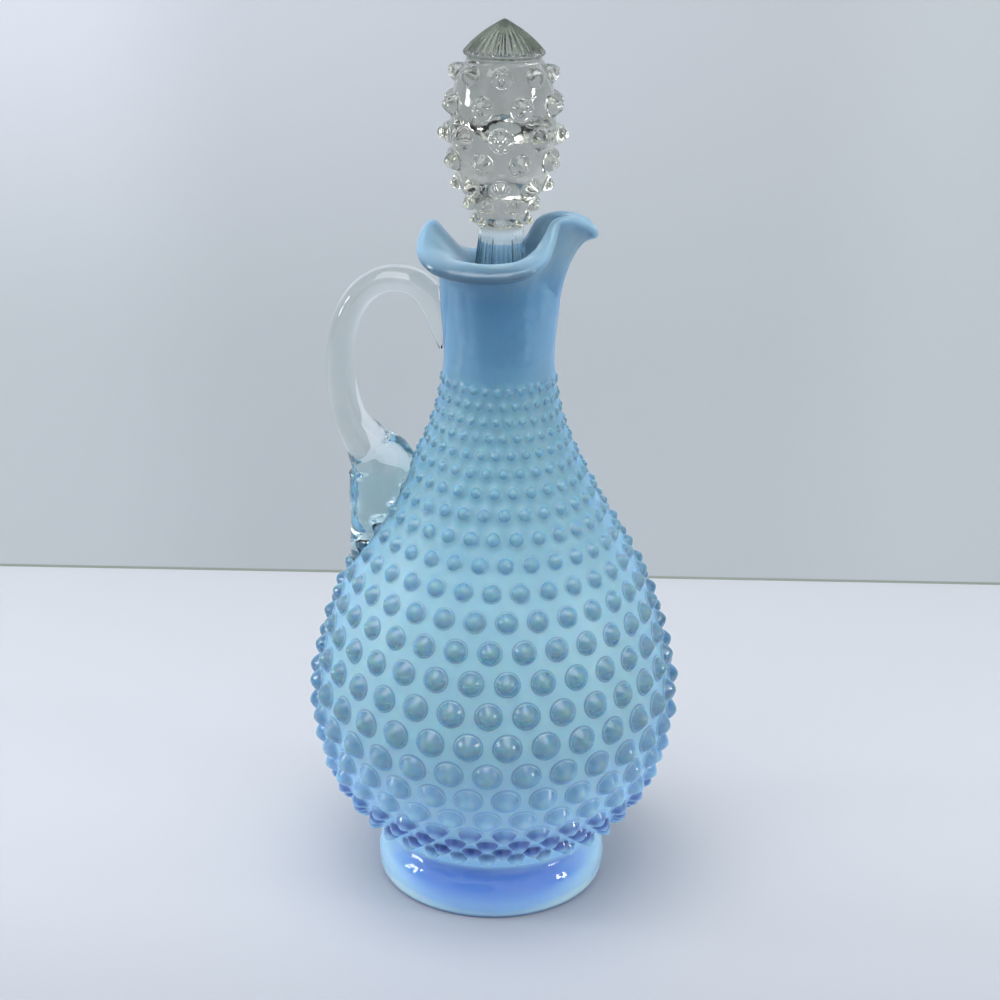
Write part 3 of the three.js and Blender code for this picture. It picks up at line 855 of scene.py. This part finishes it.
class DecanterColours(bpy.types.PropertyGroup):
    """Colours of the glass and of the stage."""

    belly: colour_prop("Belly", "Milk between the hobs", (0.38, 0.68, 0.84))
    low: colour_prop("Low belly", "Milk between and on the lowest hobs", (0.46, 0.72, 0.98))
    shoulder: colour_prop("Shoulder", "Milk of the shoulder", (0.23, 0.47, 0.59))
    neck: colour_prop("Neck", "Milk of the neck", (0.15, 0.41, 0.68))
    rim: colour_prop("Lip", "Milk of the lip", (0.27, 0.44, 0.56))
    # Painted shade under the lip's edge.
    shade_under_lip: colour_prop("Under the lip", "Milk under the lip's edge", (0.10, 0.18, 0.25))
    foot: colour_prop("Foot", "Milk of the foot", (0.30, 0.54, 0.90))
    foot_side: colour_prop("Foot's sides", "Milk where the foot turns away", (0.46, 0.72, 1.0))
    # Painted highlight: a pale line low on the foot's sides.
    foot_highlight: colour_prop("Foot's line", "Pale line low on the foot's sides", (0.70, 0.88, 1.0))
    # Violet of thick glass, with painted shade under the belly. It also darkens the sole's lowest
    # mm.
    waist: colour_prop("Waist", "Violet milk between foot and belly", (0.17, 0.34, 0.78))
    tip: colour_prop("Hob tips", "Greenish milk at the tip of a hob", (0.22, 0.42, 0.46))
    flank: colour_prop("Hob flanks", "Milk on the flank of a hob", (0.15, 0.33, 0.55))
    # Painted shade under a hob and in the crease at its foot.
    shaded_flank: colour_prop("Dark flanks", "Milk under a hob and at its foot", (0.08, 0.21, 0.40))
    under: colour_prop("Lowest hobs", "Violet on the hobs of the lowest rows", (0.08, 0.12, 0.48))
    edge: colour_prop("Edges", "Thick milk where the glass turns away", (0.26, 0.56, 0.92))
    # Painted glow: emission standing in for light carried down to the low belly.
    painted_glow: colour_prop("Glow", "Light carried down to the low belly", (0.06, 0.12, 0.18))
    lining: colour_prop("Lining", "Milk on the belly's inner wall", (0.75, 0.92, 0.97))
    low_lining: colour_prop("Low lining", "Milk low on the belly's inner wall", (0.66, 0.86, 1.0))
    neck_lining: colour_prop("Neck lining", "Milk on the neck's inner wall", (0.43, 0.70, 0.81))
    belly_glass: colour_prop("Belly glass", "Clear tint between the hobs", (0.82, 0.94, 0.96))
    hob_glass: colour_prop("Hob glass", "Clear tint of the hobs", (0.46, 0.68, 0.76))
    low_glass: colour_prop("Low glass", "Clear tint of the foot and low hobs", (0.78, 0.89, 1.0))
    # Painted shade in the clear glass, along a hob's foot and on its lower flank.
    shade_glass: colour_prop("Shaded glass", "Clear tint along a hob's foot", (0.20, 0.40, 0.60))
    neck_glass: colour_prop("Neck glass", "Clear tint of the neck and lip", (0.50, 0.76, 0.88))
    clear: colour_prop("Clear glass", "Glass of the handle", (0.86, 0.90, 0.89))
    pad: colour_prop("Handle's pad", "Thick glass at the handle's low end", (0.54, 0.75, 0.81))
    pressed: colour_prop("Pressed glass", "Glass of the stopper's knob", (0.56, 0.57, 0.52))
    cap: colour_prop("Cap", "Thick glass of the stopper's cap", (0.14, 0.19, 0.10))
    shank: colour_prop("Shank", "Glass of the stopper's fluted shank", (0.80, 0.93, 0.98))
    ground: colour_prop("Ground glass", "Frosted glass of the stopper's peg", (0.34, 0.36, 0.34))
    floor: colour_prop("Table", "The pale table", (0.505, 0.523, 0.560))
    # Painted shade on the table's nearer part.
    shaded_floor_near: colour_prop("Near table", "The table's nearer part", (0.325, 0.345, 0.385))
    wall: colour_prop("Wall", "The pale backdrop", (0.50, 0.535, 0.555))
    # Painted light on the backdrop's upper left.
    painted_wall_light: colour_prop("Lit wall", "Backdrop's upper left", (0.69, 0.71, 0.765))
    # Painted shade on the backdrop behind the decanter.
    painted_wall_shade: colour_prop("Wall's middle", "Backdrop behind the decanter", (0.38, 0.40, 0.425))
    # Painted shade where the backdrop meets the table.
    wall_joint_shade: colour_prop("Wall's joint", "Line along the backdrop's foot", (0.30, 0.34, 0.30))
    room: colour_prop("Room", "The light room around", (0.96, 0.98, 1.0))
    room_sides: colour_prop("Room's sides", "The room far left and right", (0.22, 0.24, 0.26))
    room_viewer: colour_prop("Viewer", "Dark patch where the viewer stands", (0.02, 0.02, 0.02))


class DECANTER_OT_body(bpy.types.Operator):
    """Builds the blown body: foot, hobnail belly, neck, tooled lip and the hollow inside"""

    bl_idname = "decanter.body"
    bl_label = "Body"

    def execute(self, context):
        sizes = context.scene.decanter_sizes
        shell = Shell()
        skin, lattice = body_skin(sizes)
        underside = smooth_profile(UNDERSIDE, UNDERSIDE_RINGS)[1:]
        rings = circles(COLUMNS, np.concatenate([underside, smooth_profile(FOOT_SIDE, FOOT_RINGS)]))
        shell.fan(shell.stack(rings)[0], (0, 0, UNDERSIDE[0][1]), True)
        angle = np.arange(COLUMNS) / COLUMNS * TURN
        shell.stack(np.stack([rings[-1], revolved(skin, lattice["bounds"][0], angle)]))
        big = np.arange(HOB_ROWS) < BIG_ROWS
        add_hobs(shell, skin, lattice, HOBS_AROUND, BIG_REACHES, HOB_SIDE_POINTS, big)
        add_hobs(shell, skin, lattice, HOBS_AROUND, SMALL_REACHES, HOB_SIDE_POINTS, ~big)
        shares = np.linspace(lattice["bounds"][-1], 1, NECK_RINGS)[:, None]
        ring = shell.stack(revolved(skin, shares, angle))[-1]
        mouth = lip(COLUMNS, sizes.lip_thickness)
        ring = shell.stack(np.concatenate(mouth), below=ring, drop=lip_fold())[-1]
        inside = smooth_profile(HOLLOW, HOLLOW_RINGS)[:-1]
        ring = shell.stack(circles(HOLLOW_COLUMNS, inside), below=ring, reach=INSIDE)[-1]
        shell.fan(ring, (0, 0, HOLLOW[-1][1]), False)
        body = shell.build("glass_body")
        colours = context.scene.decanter_colours
        put_in_place(body, "vessel", "body", opal_glass(colours))
        return {"FINISHED"}


class DECANTER_OT_stopper(bpy.types.Operator):
    """Builds the pressed stopper: ground peg, fluted shank, hobbed knob and ribbed cap"""

    bl_idname = "decanter.stopper"
    bl_label = "Stopper"

    def execute(self, context):
        sizes = context.scene.decanter_sizes
        shell = Shell()
        columns = 2 * KNOB_SIDE_POINTS * KNOB_AROUND
        knob = Line(KNOB)
        rows = knob.share_at_height(KNOB_ROW_Z)
        lattice = hob_lattice(knob, rows, KNOB_AROUND, 0, KNOB_HOBS["base"], KNOB_HOBS["height"])
        peg = ribbed([(z, r - sizes.seat_gap, depth) for z, r, depth in PEG], columns)
        bottom = circles(columns, [PEG_BOTTOM])
        index = shell.stack(np.concatenate([bottom, peg]))
        shell.fan(index[0], (0, 0, PEG_BOTTOM[1]), True)
        angle = np.arange(columns) / columns * TURN
        shell.stack(revolved(knob, lattice["bounds"][0], angle)[None], below=index[-1])
        everywhere = np.ones(len(rows), bool)
        add_hobs(shell, knob, lattice, KNOB_AROUND, BIG_REACHES, KNOB_SIDE_POINTS, everywhere)
        top = shell.add(revolved(knob, lattice["bounds"][-1], angle))
        ring = shell.stack(ribbed(CAP, columns), below=top)[-1]
        shell.fan(ring, (0, 0, CAP_TOP), False)
        stopper = shell.build("glass_stopper")
        colours = context.scene.decanter_colours
        put_in_place(stopper, "stopper", "stopper", stopper_glass(colours))
        return {"FINISHED"}


class DECANTER_OT_handle(bpy.types.Operator):
    """Builds the applied handle, whose two ends lie on the neck and over the shoulder's hobs"""

    bl_idname = "decanter.handle"
    bl_label = "Handle"

    def execute(self, context):
        sizes = context.scene.decanter_sizes
        line = [(x, 0, z) for x, z, _, _ in HANDLE]
        t = np.linspace(0, 1, HANDLE_STATIONS)
        centre, ahead, behind = (
            catmull_rom(line, np.clip(t + step, 0, 1), centripetal=True)
            for step in (0, SMALL_STEP, -SMALL_STEP)
        )
        tangent = ahead - behind
        tangent /= np.linalg.norm(tangent, axis=1, keepdims=True)
        across = np.array([0.0, 1.0, 0.0])
        normal = np.cross(across, tangent)
        size = catmull_rom([(a, b) for _, _, a, b in HANDLE], t, centripetal=True)
        turn = (np.arange(HANDLE_SIDES) / HANDLE_SIDES * TURN)[None, :, None]
        points = (
            centre[:, None]
            + normal[:, None] * (size[:, None, :1] / 2) * np.cos(turn)
            + across * (size[:, None, 1:] / 2) * np.sin(turn)
        )
        skin, lattice = body_skin(sizes)
        ends = np.stack([centre[0], centre[-1]])
        points, ends = (lift_off(p, skin, lattice, FUSION_GAP) for p in (points, ends))
        shell = Shell()
        index = shell.stack(points)
        shell.fan(index[0], ends[0], True)
        shell.fan(index[-1], ends[1], False)
        handle = shell.build("glass_handle", weld=False)
        colours = context.scene.decanter_colours
        put_in_place(handle, "vessel", "handle", handle_glass(colours))
        return {"FINISHED"}


def flat_sheet(name, corners, material):
    """A piece of the stage with one face, through four corners in metres."""
    mesh = bpy.data.meshes.new(name)
    mesh.from_pydata(corners, [], [(0, 1, 2, 3)])
    mesh.materials.append(material)
    made = bpy.data.objects.new(name, mesh)
    bpy.context.scene.collection.objects.link(made)


def area_lamp(name, place, aim, size, power, tint):
    """A flat lamp at a place, turned towards the point that it is aimed at."""
    lamp = bpy.data.lights.new(name, "AREA")
    lamp.shape = "RECTANGLE"
    lamp.size, lamp.size_y = size
    lamp.energy = power
    lamp.color = tint
    made = bpy.data.objects.new(name, lamp)
    made.location = place
    made.rotation_euler = (Vector(aim) - Vector(place)).to_track_quat("-Z", "Y").to_euler()
    bpy.context.scene.collection.objects.link(made)


class DECANTER_OT_stage(bpy.types.Operator):
    """Makes the table, the backdrop, the soft lamps and the camera"""

    bl_idname = "decanter.stage"
    bl_label = "Stage"

    def execute(self, context):
        scene = context.scene
        colours = scene.decanter_colours
        side, front, back = TABLE_SIDE, -TABLE_SIDE, TABLE_BACK
        corners = [(-side, front, 0), (side, front, 0), (side, back, 0), (-side, back, 0)]
        flat_sheet("table", corners, table_top(colours))
        left = (-WALL_SIDE, WALL_DISTANCE - WALL_SIDE * WALL_TURN)
        right = (WALL_SIDE, WALL_DISTANCE + WALL_SIDE * WALL_TURN)
        corners = [(*left, 0), (*right, 0), (*right, WALL_HEIGHT), (*left, WALL_HEIGHT)]
        flat_sheet("backdrop", corners, backdrop_paint(colours))
        scene.world = bpy.data.worlds.new("room")
        room_light(scene.world, colours)
        for lamp in LAMPS:
            area_lamp(*lamp)
        camera = bpy.data.cameras.new("photo_camera")
        camera.lens = CAMERA["lens"]
        camera.sensor_width = 36
        camera.clip_start, camera.clip_end = 0.01, 20
        made = bpy.data.objects.new("photo_camera", camera)
        made.matrix_world = camera_matrix()
        scene.collection.objects.link(made)
        scene.camera = made
        scene.view_settings.view_transform = "Standard"
        return {"FINISHED"}


def camera_matrix():
    """The camera's place and turn: aimed by yaw and pitch, rolled about its own axis, and stood
    round the decanter's axis by the azimuth."""
    azimuth, pitch, yaw, roll = (
        math.radians(CAMERA[key]) for key in ("azimuth", "pitch", "yaw", "roll")
    )
    ahead = Vector((
        math.sin(yaw) * math.cos(pitch), math.cos(yaw) * math.cos(pitch), -math.sin(pitch),
    ))
    level = Vector((math.cos(yaw), -math.sin(yaw), 0))
    above = level.cross(ahead)
    right = math.cos(roll) * level + math.sin(roll) * above
    up = -math.sin(roll) * level + math.cos(roll) * above
    turned = Matrix((right, up, -ahead)).transposed().to_4x4()
    turned.translation = Vector((0, -CAMERA["distance"], CAMERA["height"])) * MM
    return Matrix.Rotation(azimuth, 4, "Z") @ turned


class DECANTER_PT_panel(bpy.types.Panel):
    """Lists the decanter's pieces and settings in the sidebar"""

    bl_idname = "DECANTER_PT_panel"
    bl_label = "Decanter"
    bl_space_type = "VIEW_3D"
    bl_region_type = "UI"
    bl_category = "Decanter"

    def draw(self, context):
        for group in (context.scene.decanter_sizes, context.scene.decanter_colours):
            for key in group.__annotations__:
                self.layout.prop(group, key)
        for operator in OPERATORS:
            self.layout.operator(operator.bl_idname)


OPERATORS = (DECANTER_OT_body, DECANTER_OT_handle, DECANTER_OT_stopper, DECANTER_OT_stage)
CLASSES = (DecanterSizes, DecanterColours, *OPERATORS, DECANTER_PT_panel)


def register():
    for made in CLASSES:
        bpy.utils.register_class(made)
    bpy.types.Scene.decanter_sizes = PointerProperty(type=DecanterSizes)
    bpy.types.Scene.decanter_colours = PointerProperty(type=DecanterColours)


def unregister():
    del bpy.types.Scene.decanter_colours
    del bpy.types.Scene.decanter_sizes
    for made in reversed(CLASSES):
        bpy.utils.unregister_class(made)


def main():
    register()
    bpy.ops.decanter.body()
    bpy.ops.decanter.handle()
    bpy.ops.decanter.stopper()
    bpy.ops.decanter.stage()
    bpy.context.view_layer.update()


if __name__ == "__main__":
    main()
